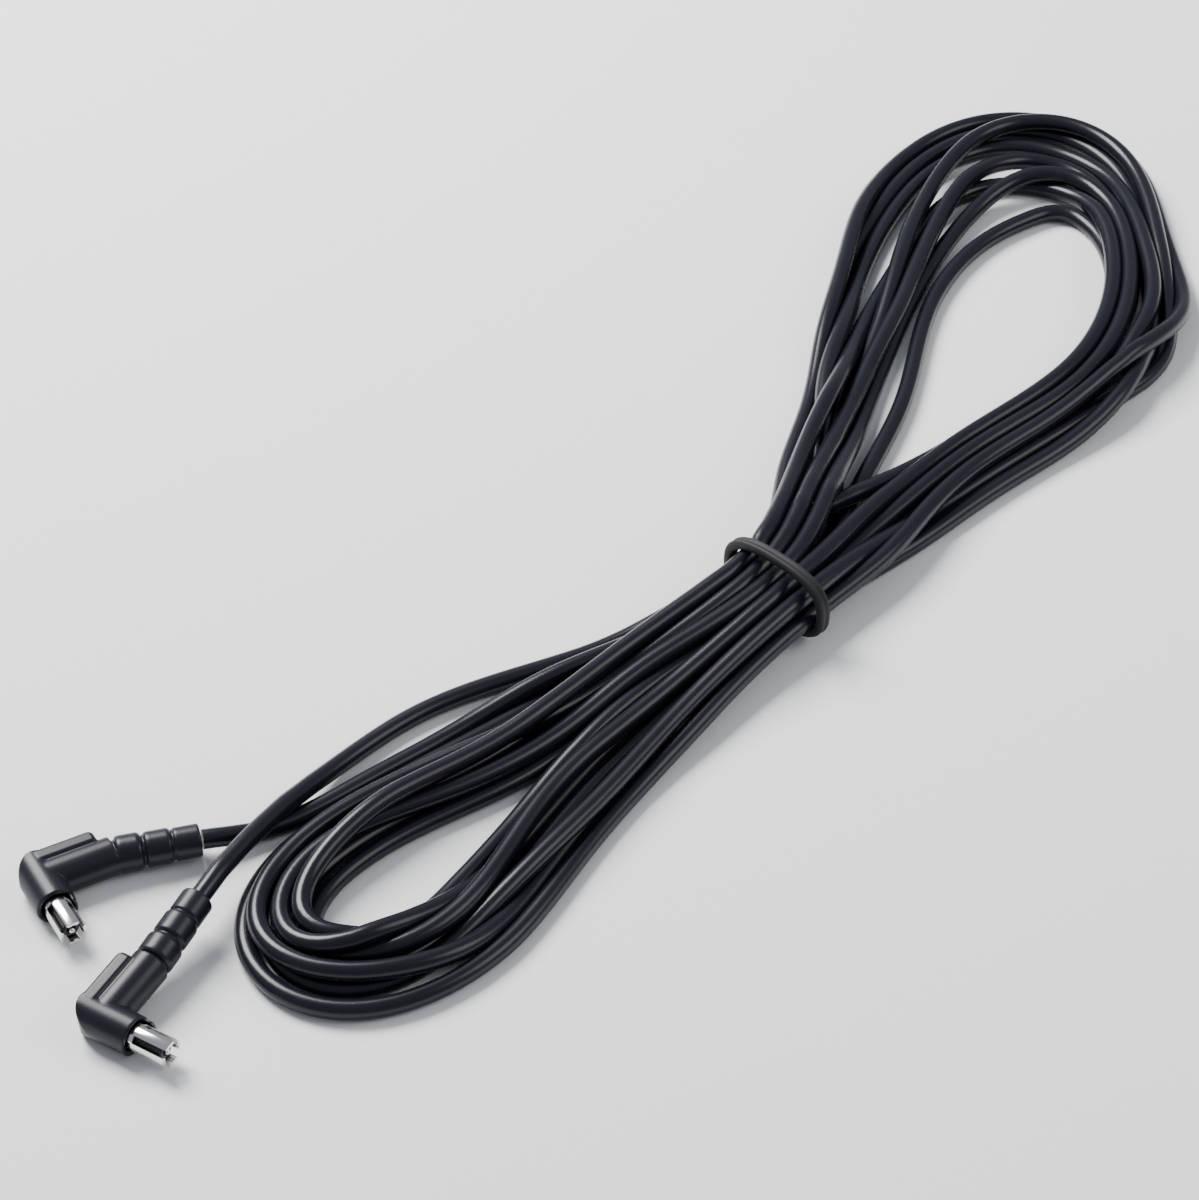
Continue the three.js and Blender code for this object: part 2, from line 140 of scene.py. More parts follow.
LOWER_LANES = {
    2: {"A": (-0.004, 0.0046), "B": (-0.002, 0.0017), "C": (0.005, 0.0017), "D": (-0.0018, 0.0074),
        "E": (0.0084, 0.0026), "F": (0.0015, 0.0017), "X": (0.0038, 0.0056)},
    3: {"A": (-0.0053, 0.0017), "B": (-0.0022, 0.0017), "C": (0.0033, 0.0017),
        "D": (-0.0036, 0.0047), "E": (0.0066, 0.0017), "F": (0.001, 0.0017), "X": (0.005, 0.0047)},
    5: {"A": (-0.0063, 0.0017), "B": (-0.0028, 0.0017), "C": (0.004, 0.0017),
        "D": (-0.0014, 0.0047), "E": (0.0054, 0.0042), "F": (0.0006, 0.0017),
        "X": (0.0022, 0.0047)},
    7: {"A": (-0.0074, 0.0017), "B": (-0.0011, 0.0047), "C": (0.0007, 0.0074),
        "D": (-0.0022, 0.0017), "E": (0.0026, 0.0017), "F": (0.0008, 0.0017),
        "X": (0.0013, 0.0047)},
    9: {"A": (-0.0057, 0.0017), "B": (-0.004, 0.0047), "C": (-0.0006, 0.0047),
        "D": (-0.0023, 0.0017), "E": (0.002, 0.0047), "F": (0.0009, 0.0017), "X": (0.0032, 0.0017)},
    11: {"A": (-0.0052, 0.0017), "B": (-0.0035, 0.0047), "C": (0.0, 0.0047),
         "D": (-0.0018, 0.0017), "E": (0.0026, 0.0048), "F": (0.0016, 0.0017),
         "X": (0.004, 0.0017)},
    13: {"A": (-0.0074, 0.0017), "B": (-0.0033, 0.0047), "C": (0.0039, 0.0047),
         "D": (-0.0016, 0.0017), "E": (0.0005, 0.0049), "F": (0.0018, 0.0017),
         "X": (0.0052, 0.0017)},
    15: {"A": (-0.0078, 0.0017), "B": (-0.0008, 0.0047), "C": (0.0033, 0.0047),
         "D": (-0.0026, 0.0017), "E": (-0.0022, 0.0073), "F": (0.0016, 0.0017),
         "X": (0.005, 0.0017)},
}

# The two leads, from their plugs to the tie
LEAD_UPPER = [
    (-0.0964, -0.0595, 0.0034), (-0.0945, -0.059, 0.0033), (-0.09, -0.0574, 0.0026),
    (-0.0835, -0.0544, 0.0017), (-0.076, -0.0496, 0.0017), (-0.0705, -0.0446, 0.0017),
    (-0.0655, -0.0402, 0.0017), (-0.06, -0.036, 0.0017), (-0.0555, -0.032, 0.0017),
    (-0.0495, -0.027, 0.0017), (-0.044, -0.0236, 0.0022), (-0.0385, -0.0208, 0.0036),
    (-0.033, -0.0184, 0.0048), (-0.027, -0.014, 0.0058), (-0.021, -0.0075, 0.0065),
]
LEAD_LOWER = [
    (-0.0954, -0.0764, 0.0067), (-0.0946, -0.0749, 0.0069), (-0.0915, -0.0685, 0.0072),
    (-0.0877, -0.0614, 0.007), (-0.0835, -0.054, 0.0063), (-0.079, -0.0465, 0.0048),
    (-0.0735, -0.039, 0.0029), (-0.0665, -0.03, 0.0018), (-0.0605, -0.0248, 0.0017),
    (-0.055, -0.0217, 0.0017), (-0.05, -0.0194, 0.0017), (-0.044, -0.0168, 0.0017),
    (-0.0385, -0.0147, 0.0017), (-0.033, -0.0128, 0.0017), (-0.027, -0.0094, 0.002),
    (-0.021, -0.0035, 0.0026),
]

# The heading of the waist where the tie crosses it, the strands' headings on the upper loop's
# side and on the lower loop's side, and how far from the tie each strand is placed on both sides
WAIST_TURN = radians(52)
WAIST_TURN_ABOVE = radians(61)
WAIST_TURN_BELOW = radians(42)
WAIST_REACH = 0.007

# Strands that rest in the hollows of the row below rise by this many diameters
ROW_RISE = cos(radians(30))

# Each plug's lead, the turn of its sleeve about the vertical, the rise of its leg, and the bend
# of its soft boot
PLUGS = {
    "upper": (LEAD_UPPER, radians(-61), 0.0, radians(-14)),
    "lower": (LEAD_LOWER, radians(-32), radians(7), radians(5)),
}

# How the route is drawn: the points worked out between two planned ones, and the finished route's
# step as a share of the settling's
SPLINE_SAMPLES = 16
FINE_STEP = 0.75

# How strands are kept apart: how many points along the cord count as neighbours and don't push
# each other, the distance between strands in diameters, the pushes in a round, the share of an
# overlap that a push moves each strand by, and the rounds between searches for close strands
NEIGHBOURS = 6
CLEARANCE = 1.006
PUSHES = 2
PUSH_SHARE = 0.35
PAIRS_EVERY = 12

# How bends are smoothed: the steps over which they are judged, the share that a round takes away,
# and the points at each end that stay where the plugs hold them
BEND_SPREADS = (1, 3)
BEND_EASE = 0.05
FIXED_ENDS = 4

# How the tie holds the strands: its reach in band widths, the share of the way back inside that a
# round takes, and the least value that is divided by
TIE_REACH = 1.25
TIE_SHARE = 0.5
NEVER_ZERO = 1e-9

# How strongly a round draws a strand to its planned lane and height and how far it sinks, and the
# share of the rounds after which only a share of the pull is left
LANE_PULL = 0.035
HEIGHT_PULL = 0.006
SINK = 0.000012
LATE_FROM = 0.7
LATE_PULL = 0.3

# The tie's ridges and rounded edges as shares of its wall, where a ridge's top and foot end in
# widths of a rounded edge, and the steps round the tie
RIDGE_SHARE = 0.14
EDGE_SHARE = 0.2
RIDGE_TOP = 2.2
RIDGE_FOOT = 3.2
TIE_STEPS = 120

# The plugs' smaller forms
LEG_AXIS = Matrix.Rotation(pi / 2, 4, "Z")
BOOT_RINGS = 3
RING_LENGTH = 0.004
RING_GAP = 0.00085
RING_TAPER = 0.0004
RING_ROUNDING = 0.3
BOOT_ROOT = 0.002
BOOT_MOUTH = 0.0001
BOOT_MOUTH_STEP = 0.0004
ELBOW_RADIUS = 0.0038
LID_CORNER = 0.001
LID_ROUNDING = 0.0007
LIP_REACH = 0.0016
LIP_THICKNESS = 0.0005
LIP_HALF_ANGLE = radians(38)
SLEEVE_SEAT = 0.003
SLEEVE_ROUNDING = 0.00009
SLOT_WIDTH = 0.0013
SLOT_START = 0.0009
PIN_RECESS = 0.0004
PIN_POINT = 0.00002
# The insulator runs forward to near the sleeve's tip, so that its dark face fills the sleeve as
# painted shade
INSULATOR_AS_SHADE_LENGTH = 0.0086
INSULATOR_CHAMFER = 0.0002
JOINT_GAP = 0.0003

# How the moulding's edges are softened
SOFTEN_SHARE = 0.5
SOFTEN_ROUNDS = 3

# How far a cutter runs past what it cuts, and half the width of the one that slots a sleeve
OVERRUN = 0.001
SLOT_CUTTER_HALF = 0.004

# Sides and steps of the round forms
HEAD_SIDES = 64
BOOT_SIDES = 48
SLEEVE_SIDES = 72
PIN_SIDES = 28
INSULATOR_SIDES = 48
HOLE_SIDES = 32
ELBOW_STEPS = 10
LIP_STEPS = 6
NOSE_STEPS = 6
LID_ROUNDING_STEPS = 3
SLEEVE_ROUNDING_STEPS = 2

# A sleeve's edges that turn more than the first are rounded, and the small parts' edges that
# turn more than the second are shaded as corners
ROUNDED_ABOVE = radians(40)
SHARP_ABOVE = radians(35)

# The finishes' own values
MOTTLE_SCALE = 90.0
GRAIN_DETAIL = 3.0
WAVE_DETAIL = 2.0
NOISE_MIDDLE = 0.5
NICKEL_ROUGHNESS = 0.16
# The insulator's near-black colour is partly its own and partly painted shade for the inside of the
# sleeve
INSULATOR_AND_SHADE_COLOUR = (0.012, 0.012, 0.014)
INSULATOR_ROUGHNESS = 0.55
PAPER_ROUGHNESS = 0.9

# The studio
SENSOR_WIDTH = 36.0
SOFTBOX_SIZE = 0.5
KEY_PLACE = (-0.45, 0.45, 0.7)
SIDE_PLACE = (0.75, -0.1, 0.6)
AIR_COLOUR = (0.84, 0.9, 1.0, 1.0)


class CordSettings(bpy.types.PropertyGroup):
    """Sizes and finish of the cord"""

    diameter: FloatProperty(
        name="Diameter", description="Outside diameter of the jacket",
        default=0.0034, unit="LENGTH", precision=5)
    step: FloatProperty(
        name="Step", description="Distance between points of the settled route",
        default=0.0022, unit="LENGTH", precision=5)
    sides: IntProperty(name="Sides", description="Sides of the round jacket", default=18)
    rounds: IntProperty(
        name="Settling rounds", description="Rounds in which the turns settle", default=420)
    colour: FloatVectorProperty(
        name="Colour", description="Colour of the jacket", subtype="COLOR", size=3,
        default=(0.0075, 0.0075, 0.013))
    roughness: FloatProperty(
        name="Roughness", description="Roughness of the jacket", subtype="FACTOR", default=0.27)


class PlugSettings(bpy.types.PropertyGroup):
    """Sizes and finish of the moulded plugs and their metal sleeves"""

    head_diameter: FloatProperty(
        name="Head", description="Diameter of the moulded head",
        default=0.0068, unit="LENGTH", precision=5)
    head_reach: FloatProperty(
        name="Head reach", description="From the leg's axis to the mouth of the head",
        default=0.0064, unit="LENGTH", precision=5)
    leg_diameter: FloatProperty(
        name="Leg", description="Diameter of the leg",
        default=0.0066, unit="LENGTH", precision=5)
    leg_length: FloatProperty(
        name="Leg length", description="From the head's axis to the boot",
        default=0.0126, unit="LENGTH", precision=5)
    lid_back: FloatProperty(
        name="Lid back", description="From the leg's axis to the back of the lid",
        default=0.0043, unit="LENGTH", precision=5)
    lid_thickness: FloatProperty(
        name="Lid thickness", description="Thickness of the flat lid",
        default=0.0028, unit="LENGTH", precision=5)
    lid_length: FloatProperty(
        name="Lid length", description="From the head's axis to the lid's far end",
        default=0.0109, unit="LENGTH", precision=5)
    boot_diameter: FloatProperty(
        name="Boot", description="Diameter of the boot's first ring",
        default=0.0064, unit="LENGTH", precision=5)
    boot_neck: FloatProperty(
        name="Boot neck", description="Diameter between the boot's rings",
        default=0.005, unit="LENGTH", precision=5)
    sleeve_diameter: FloatProperty(
        name="Sleeve", description="Outside diameter of the spring sleeve",
        default=0.0047, unit="LENGTH", precision=5)
    sleeve_bore: FloatProperty(
        name="Sleeve bore", description="Bore of the spring sleeve",
        default=0.0035, unit="LENGTH", precision=5)
    sleeve_reach: FloatProperty(
        name="Sleeve reach", description="How far the sleeve stands out of the head",
        default=0.007, unit="LENGTH", precision=5)
    pin_diameter: FloatProperty(
        name="Pin", description="Diameter of the centre pin",
        default=0.001, unit="LENGTH", precision=5)
    grain: FloatProperty(
        name="Moulding fineness", description="Cell of the mesh that rounds the moulding",
        default=0.00017, unit="LENGTH", precision=6)
    colour: FloatVectorProperty(
        name="Colour", description="Colour of the moulding", subtype="COLOR", size=3,
        default=(0.0075, 0.0075, 0.013))
    roughness: FloatProperty(
        name="Roughness", description="Roughness of the moulding", subtype="FACTOR",
        default=0.36)
    metal: FloatVectorProperty(
        name="Metal", description="Colour of the nickel plate", subtype="COLOR", size=3,
        default=(0.78, 0.77, 0.75))


class TieSettings(bpy.types.PropertyGroup):
    """Sizes and finish of the rubber tie"""

    inner_width: FloatProperty(
        name="Inside width", description="Width that the tie closes round",
        default=0.0204, unit="LENGTH", precision=5)
    inner_height: FloatProperty(
        name="Inside height", description="Height that the tie closes round",
        default=0.0112, unit="LENGTH", precision=5)
    wall: FloatProperty(
        name="Wall", description="Thickness of the tie",
        default=0.0018, unit="LENGTH", precision=5)
    band: FloatProperty(
        name="Band", description="Width of the band along the cord",
        default=0.0024, unit="LENGTH", precision=5)
    turn: FloatProperty(
        name="Turn", description="Heading of the tie's axis", subtype="ANGLE",
        default=radians(45))
    squareness: FloatProperty(
        name="Squareness", description="How square the tie is round the strands, 2 is round",
        default=2.6)
    colour: FloatVectorProperty(
        name="Colour", description="Colour of the rubber", subtype="COLOR", size=3,
        default=(0.018, 0.0175, 0.02))
    roughness: FloatProperty(
        name="Roughness", description="Roughness of the rubber", subtype="FACTOR", default=0.6)


class StageSettings(bpy.types.PropertyGroup):
    """Camera, floor and lights"""

    elevation: FloatProperty(
        name="Elevation", description="Camera's height angle", subtype="ANGLE",
        default=radians(40.5))
    distance: FloatProperty(
        name="Distance", description="From the camera to the point that it looks at",
        default=0.681, unit="LENGTH")
    target: FloatVectorProperty(
        name="Target", description="Floor point in the middle of the view", size=2,
        default=(-0.009955, -0.018556), unit="LENGTH", precision=6)
    lens: FloatProperty(
        name="Lens", description="Focal length in millimetres", default=114.9)
    key_power: FloatProperty(
        name="Key", description="Power of the main softbox", default=22.0, unit="POWER")
    fill_power: FloatProperty(
        name="Fill", description="Power of the side softbox", default=3.0, unit="POWER")
    floor_size: FloatProperty(
        name="Floor", description="Side of the floor", default=6.0, unit="LENGTH")
    floor_colour: FloatVectorProperty(
        name="Floor colour", description="Colour of the floor", subtype="COLOR", size=3,
        default=(0.9, 0.9, 0.9))
    air: FloatProperty(
        name="Surround", description="Strength of the even light all round", default=0.42)


def new_mesh_object(name, verts, faces, smooth=True):
    """A mesh object linked to the scene"""
    mesh = bpy.data.meshes.new(name)
    mesh.from_pydata([tuple(v) for v in verts], [], [tuple(f) for f in faces])
    mesh.polygons.foreach_set("use_smooth", [smooth] * len(mesh.polygons))
    mesh.update()
    obj = bpy.data.objects.new(name, mesh)
    bpy.context.scene.collection.objects.link(obj)
    return obj


def apply_modifiers(obj):
    """Turns the object's modifiers into its mesh"""
    graph = bpy.context.evaluated_depsgraph_get()
    mesh = bpy.data.meshes.new_from_object(obj.evaluated_get(graph))
    obj.modifiers.clear()
    old = obj.data
    obj.data = mesh
    bpy.data.meshes.remove(old)
    return obj


def combined(obj, other, operation):
    """Adds, cuts or intersects obj with another object, which is used up"""
    modifier = obj.modifiers.new("combine", "BOOLEAN")
    modifier.operation = operation
    modifier.solver = "EXACT"
    modifier.object = other
    apply_modifiers(obj)
    bpy.data.objects.remove(other)
    return obj


def turned(name, profile, sides, place=Matrix.Identity(4)):
    """A body turned about its own X axis, from (distance along X, radius) points"""
    angles = [2 * pi * k / sides for k in range(sides)]
    verts = [
        place @ Vector((x, radius * cos(a), radius * sin(a)))
        for x, radius in profile for a in angles
    ]
    faces = []
    for row in range(len(profile) - 1):
        for k in range(sides):
            a, b = row * sides + k, row * sides + (k + 1) % sides
            faces.append((a, b, b + sides, a + sides))
    faces.append(tuple(reversed(range(sides))))
    faces.append(tuple(range((len(profile) - 1) * sides, len(profile) * sides)))
    obj = new_mesh_object(name, verts, faces)
    face_outward(obj)
    return obj


def face_outward(obj):
    """Turns every face of a closed mesh outwards and splits faces with many corners"""
    work = bmesh.new()
    work.from_mesh(obj.data)
    bmesh.ops.triangulate(work, faces=[f for f in work.faces if len(f.verts) > 4])
    bmesh.ops.recalc_face_normals(work, faces=work.faces)
    work.to_mesh(obj.data)
    work.free()


def prism(name, outline, low, high):
    """A closed body over a plan outline"""
    count = len(outline)
    verts = [(x, y, low) for x, y in outline] + [(x, y, high) for x, y in outline]
    faces = [tuple(reversed(range(count))), tuple(range(count, 2 * count))]
    for k in range(count):
        after = (k + 1) % count
        faces.append((k, after, after + count, k + count))
    obj = new_mesh_object(name, verts, faces, smooth=False)
    face_outward(obj)
    return obj


def finish_piece(obj, material, replaces):
    """Puts a finished piece on the frame"""
    obj.data.materials.clear()
    obj.data.materials.append(material)
    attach(obj, BODY)
    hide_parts(*replaces)
    return obj


def surface_group():
    """Shared fine unevenness: a roughness value and a normal from object coordinates"""
    name = "Fine Unevenness"
    if name in bpy.data.node_groups:
        return bpy.data.node_groups[name]
    tree = bpy.data.node_groups.new(name, "ShaderNodeTree")
    sockets = [
        ("Base Roughness", "INPUT", 0.4), ("Variation", "INPUT", 0.08),
        ("Grain Size", "INPUT", 0.0004), ("Relief", "INPUT", 0.00001),
        ("Wave Size", "INPUT", 0.012),
    ]
    for label, direction, value in sockets:
        socket = tree.interface.new_socket(label, in_out=direction, socket_type="NodeSocketFloat")
        socket.default_value = value
    tree.interface.new_socket("Roughness", in_out="OUTPUT", socket_type="NodeSocketFloat")
    tree.interface.new_socket("Normal", in_out="OUTPUT", socket_type="NodeSocketVector")
    add, link = tree.nodes.new, tree.links.new
    given, result = add("NodeGroupInput"), add("NodeGroupOutput")
    place = add("ShaderNodeTexCoord")

    def noise_at(size_socket, detail):
        scale = add("ShaderNodeMath")
        scale.operation = "DIVIDE"
        scale.inputs[0].default_value = 1.0
        link(given.outputs[size_socket], scale.inputs[1])
        noise = add("ShaderNodeTexNoise")
        noise.inputs["Detail"].default_value = detail
        link(scale.outputs[0], noise.inputs["Scale"])
        link(place.outputs["Object"], noise.inputs["Vector"])
        return noise

    grain, wave = noise_at("Grain Size", GRAIN_DETAIL), noise_at("Wave Size", WAVE_DETAIL)
    centred = add("ShaderNodeMath")
    centred.operation = "SUBTRACT"
    centred.inputs[1].default_value = NOISE_MIDDLE
    link(wave.outputs["Fac"], centred.inputs[0])
    rough = add("ShaderNodeMath")
    rough.operation = "MULTIPLY_ADD"
    link(centred.outputs[0], rough.inputs[0])
    link(given.outputs["Variation"], rough.inputs[1])
    link(given.outputs["Base Roughness"], rough.inputs[2])
    bump = add("ShaderNodeBump")
    bump.inputs["Strength"].default_value = 1.0
    link(given.outputs["Relief"], bump.inputs["Distance"])
    link(grain.outputs["Fac"], bump.inputs["Height"])
    link(rough.outputs[0], result.inputs["Roughness"])
    link(bump.outputs["Normal"], result.inputs["Normal"])
    return tree


def surface_material(name, colour, roughness, metallic=0.0, relief=0.00001, grain=0.0004,
                     variation=0.08, mottle=0.12, specular=0.5):
    """A plain finish with a little unevenness in its colour, gloss and surface"""
    material = bpy.data.materials.new(name)
    material.use_nodes = True
    tree = material.node_tree
    add, link = tree.nodes.new, tree.links.new
    shader = tree.nodes["Principled BSDF"]
    shader.inputs["Metallic"].default_value = metallic
    shader.inputs["Specular IOR Level"].default_value = specular
    fine = add("ShaderNodeGroup")
    fine.node_tree = surface_group()
    fine.inputs["Base Roughness"].default_value = roughness
    fine.inputs["Variation"].default_value = variation
    fine.inputs["Grain Size"].default_value = grain
    fine.inputs["Relief"].default_value = relief
    place = add("ShaderNodeTexCoord")
    noise = add("ShaderNodeTexNoise")
    noise.inputs["Scale"].default_value = MOTTLE_SCALE
    link(place.outputs["Object"], noise.inputs["Vector"])
    ramp = add("ShaderNodeValToRGB")
    darker = [channel * (1 - mottle) for channel in colour]
    lighter = [min(channel * (1 + mottle), 1.0) for channel in colour]
    ramp.color_ramp.elements[0].color = (*darker, 1.0)
    ramp.color_ramp.elements[1].color = (*lighter, 1.0)
    link(noise.outputs["Fac"], ramp.inputs["Fac"])
    link(ramp.outputs["Color"], shader.inputs["Base Color"])
    link(fine.outputs["Roughness"], shader.inputs["Roughness"])
    link(fine.outputs["Normal"], shader.inputs["Normal"])
    return material


def waist_point(slot, along, diameter):
    """A slot's place at a distance before or past the tie"""
    across, row = slot
    heading = WAIST_TURN_ABOVE if along > 0 else WAIST_TURN_BELOW
    middle = (TIE_LOW.z + TIE_HIGH.z) / 2
    return (
        sin(WAIST_TURN) * across * diameter + cos(heading) * along,
        -cos(WAIST_TURN) * across * diameter + sin(heading) * along,
        middle + row * diameter * ROW_RISE,
    )


def through_tie(slot, diameter, upward):
    """The slot's points through the tie, in the order that the cord takes"""
    reaches = (-WAIST_REACH, 0.0, WAIST_REACH)
    return [waist_point(slot, r, diameter) for r in (reaches if upward else reaches[::-1])]


def lane_points(path, lanes, turn):
    """One turn's points beside a loop path, with the points between its lanes worked out"""
    known = sorted(lanes)
    numbers = range(known[0], known[-1] + 1)
    inward = np.interp(numbers, known, [lanes[k][turn][0] for k in known])
    height = np.interp(numbers, known, [lanes[k][turn][1] for k in known])
    line = np.array(path)
    points = []
    for k, side, z in zip(numbers, inward, height):
        ahead = line[k + 1] - line[k - 1]
        ahead = ahead / np.linalg.norm(ahead)
        points.append((line[k][0] + ahead[1] * side, line[k][1] - ahead[0] * side, z))
    return points


def planned_points(diameter):
    """The whole cord's planned points, from the upper plug to the lower one"""
    points = list(LEAD_UPPER)
    for turn in TURN_ORDER:
        points += through_tie(SLOTS_UP[turn], diameter, upward=True)
        points += lane_points(UPPER_PATH, UPPER_LANES, turn)
        points += through_tie(SLOTS_DOWN[turn], diameter, upward=False)
        if turn != TURN_ORDER[-1]:
            points += lane_points(LOWER_PATH, LOWER_LANES, turn)
    return np.array(points + LEAD_LOWER[::-1])


def smooth_line(points, step):
    """A smooth curve through the points, in equal steps"""
    ends = [2 * points[0] - points[1]], [2 * points[-1] - points[-2]]
    rows = np.vstack([ends[0], points, ends[1]])
    t = np.linspace(0, 1, SPLINE_SAMPLES, endpoint=False)[:, None]
    pieces = [
        0.5 * (2 * b + (c - a) * t + (2 * a - 5 * b + 4 * c - d) * t**2
               + (3 * b - a - 3 * c + d) * t**3)
        for a, b, c, d in zip(rows, rows[1:], rows[2:], rows[3:])
    ]
    fine = np.vstack(pieces + [points[-1:]])
    run = np.concatenate([[0], np.cumsum(np.linalg.norm(np.diff(fine, axis=0), axis=1))])
    wanted = np.linspace(0, run[-1], round(run[-1] / step) + 1)
    return np.stack([np.interp(wanted, run, fine[:, k]) for k in range(3)], axis=1)


def close_pairs(line, reach):
    """Pairs of points nearer than reach that aren't neighbours along the cord"""
    order = np.argsort(line[:, 0], kind="stable")
    along_x = line[order, 0]
    last = np.searchsorted(along_x, along_x + reach)
    found = []
    for k, first in enumerate(order):
        others = order[k + 1:last[k]]
        gap = np.abs(line[others] - line[first])
        others = others[(gap[:, 1] < reach) & (gap[:, 2] < reach)
                        & (np.abs(others - first) > NEIGHBOURS)]
        found.append(np.stack([np.full(len(others), first), others], axis=1))
    return np.vstack(found)


def bending(line, spread):
    """How far each point stands off a smooth bend, judged over a number of steps"""
    off = np.zeros_like(line)
    s = spread
    off[2 * s:-2 * s] = (line[:-4 * s] - 4 * line[s:-3 * s] + 6 * line[2 * s:-2 * s]
                         - 4 * line[3 * s:-s] + line[4 * s:])
    return off


def pushed_apart(line, pairs, distance):
    """The line with its close strands moved away from each other"""
    first, second = pairs[:, 0], pairs[:, 1]
    between = line[second] - line[first]
    gap = np.linalg.norm(between, axis=1)
    near = gap < distance
    first, second, between, gap = first[near], second[near], between[near], gap[near]
    push = between / gap[:, None] * ((distance - gap) * PUSH_SHARE)[:, None]
    total = np.zeros_like(line)
    count = np.ones(len(line))
    for ends, sign in ((first, -1), (second, 1)):
        np.add.at(total, ends, sign * push)
        np.add.at(count, ends, 1)
    return line + total / np.sqrt(count)[:, None]


def held_by_tie(line, tie, diameter):
    """The line with its strands inside the tie where they pass through it"""
    across = np.array([sin(tie.turn), -cos(tie.turn), 0.0])
    ahead = np.array([cos(tie.turn), sin(tie.turn), 0.0])
    half_width = (tie.inner_width - diameter) / 2
    half_height = (tie.inner_height - diameter) / 2
    near = np.nonzero((np.abs(line @ ahead) < TIE_REACH * tie.band)
                      & (np.abs(line @ across) < tie.inner_width))[0]
    side = line[near] @ across
    rise = line[near, 2] - (TIE_LOW.z + TIE_HIGH.z) / 2
    power = tie.squareness
    outside = (np.abs(side / half_width) ** power
               + np.abs(rise / half_height) ** power) ** (1 / power)
    back = np.minimum(1 / np.maximum(outside, NEVER_ZERO), 1) - 1
    line = line.copy()
    line[near] += TIE_SHARE * (back * side)[:, None] * across
    line[near, 2] += TIE_SHARE * back * rise
    return line


def settled_route(cord, tie):
    """The cord's centreline, relaxed so that its strands lie beside and on each other"""
    plan = smooth_line(planned_points(cord.diameter), cord.step)
    line = plan.copy()
    distance = cord.diameter * CLEARANCE
    for turn in range(cord.rounds):
        if turn % PAIRS_EVERY == 0:
            pairs = close_pairs(line, distance + cord.step / 2)
        ease = 1.0 if turn < LATE_FROM * cord.rounds else LATE_PULL
        drift = plan - line
        line[:, :2] += LANE_PULL * ease * drift[:, :2]
        line[:, 2] += HEIGHT_PULL * ease * drift[:, 2] - SINK
        for spread in BEND_SPREADS:
            line -= BEND_EASE * bending(line, spread)
        for _ in range(PUSHES):
            line = pushed_apart(line, pairs, distance)
        line[:, 2] = np.maximum(line[:, 2], cord.diameter / 2)
        line = held_by_tie(line, tie, cord.diameter)
        line[:FIXED_ENDS], line[-FIXED_ENDS:] = plan[:FIXED_ENDS], plan[-FIXED_ENDS:]
    return smooth_line(line, cord.step * FINE_STEP) + np.array(ORIGIN)


def jacket_tree(material):
    """Geometry nodes that sweep a round jacket along a line of points"""
    tree = bpy.data.node_groups.new("Cord Jacket", "GeometryNodeTree")
    tree.is_modifier = True
    face = tree.interface
    face.new_socket("Line", in_out="INPUT", socket_type="NodeSocketGeometry")
    face.new_socket("Radius", in_out="INPUT", socket_type="NodeSocketFloat")
    face.new_socket("Sides", in_out="INPUT", socket_type="NodeSocketInt")
    face.new_socket("Jacket", in_out="OUTPUT", socket_type="NodeSocketGeometry")
    add, link = tree.nodes.new, tree.links.new
    given, result = add("NodeGroupInput"), add("NodeGroupOutput")
    curve = add("GeometryNodeMeshToCurve")
    section = add("GeometryNodeCurvePrimitiveCircle")
    sweep = add("GeometryNodeCurveToMesh")
    sweep.inputs["Fill Caps"].default_value = True
    smooth = add("GeometryNodeSetShadeSmooth")
    real = add("GeometryNodeRealizeInstances")
    dress = add("GeometryNodeSetMaterial")
    dress.inputs["Material"].default_value = material
    link(given.outputs["Line"], curve.inputs["Mesh"])
    link(given.outputs["Radius"], section.inputs["Radius"])
    link(given.outputs["Sides"], section.inputs["Resolution"])
    link(curve.outputs["Curve"], sweep.inputs["Curve"])
    link(section.outputs["Curve"], sweep.inputs["Profile Curve"])
    link(sweep.outputs["Mesh"], smooth.inputs["Geometry"])
    link(smooth.outputs["Geometry"], real.inputs["Geometry"])
    link(real.outputs["Geometry"], dress.inputs["Geometry"])
    link(dress.outputs["Geometry"], result.inputs["Jacket"])
    return tree


def swept_jacket(name, line, radius, sides, material):
    """A closed round jacket along the line"""
    mesh = bpy.data.meshes.new(name)
    mesh.from_pydata(line.tolist(), [(k, k + 1) for k in range(len(line) - 1)], [])
    obj = bpy.data.objects.new(name, mesh)
    bpy.context.scene.collection.objects.link(obj)
    tree = jacket_tree(material)
    modifier = obj.modifiers.new("jacket", "NODES")
    modifier.node_group = tree
    values = {"Radius": radius, "Sides": sides}
    for socket in tree.interface.items_tree:
        if socket.name in values:
            modifier[socket.identifier] = values[socket.name]
    apply_modifiers(obj)
    face_outward(obj)
    return obj


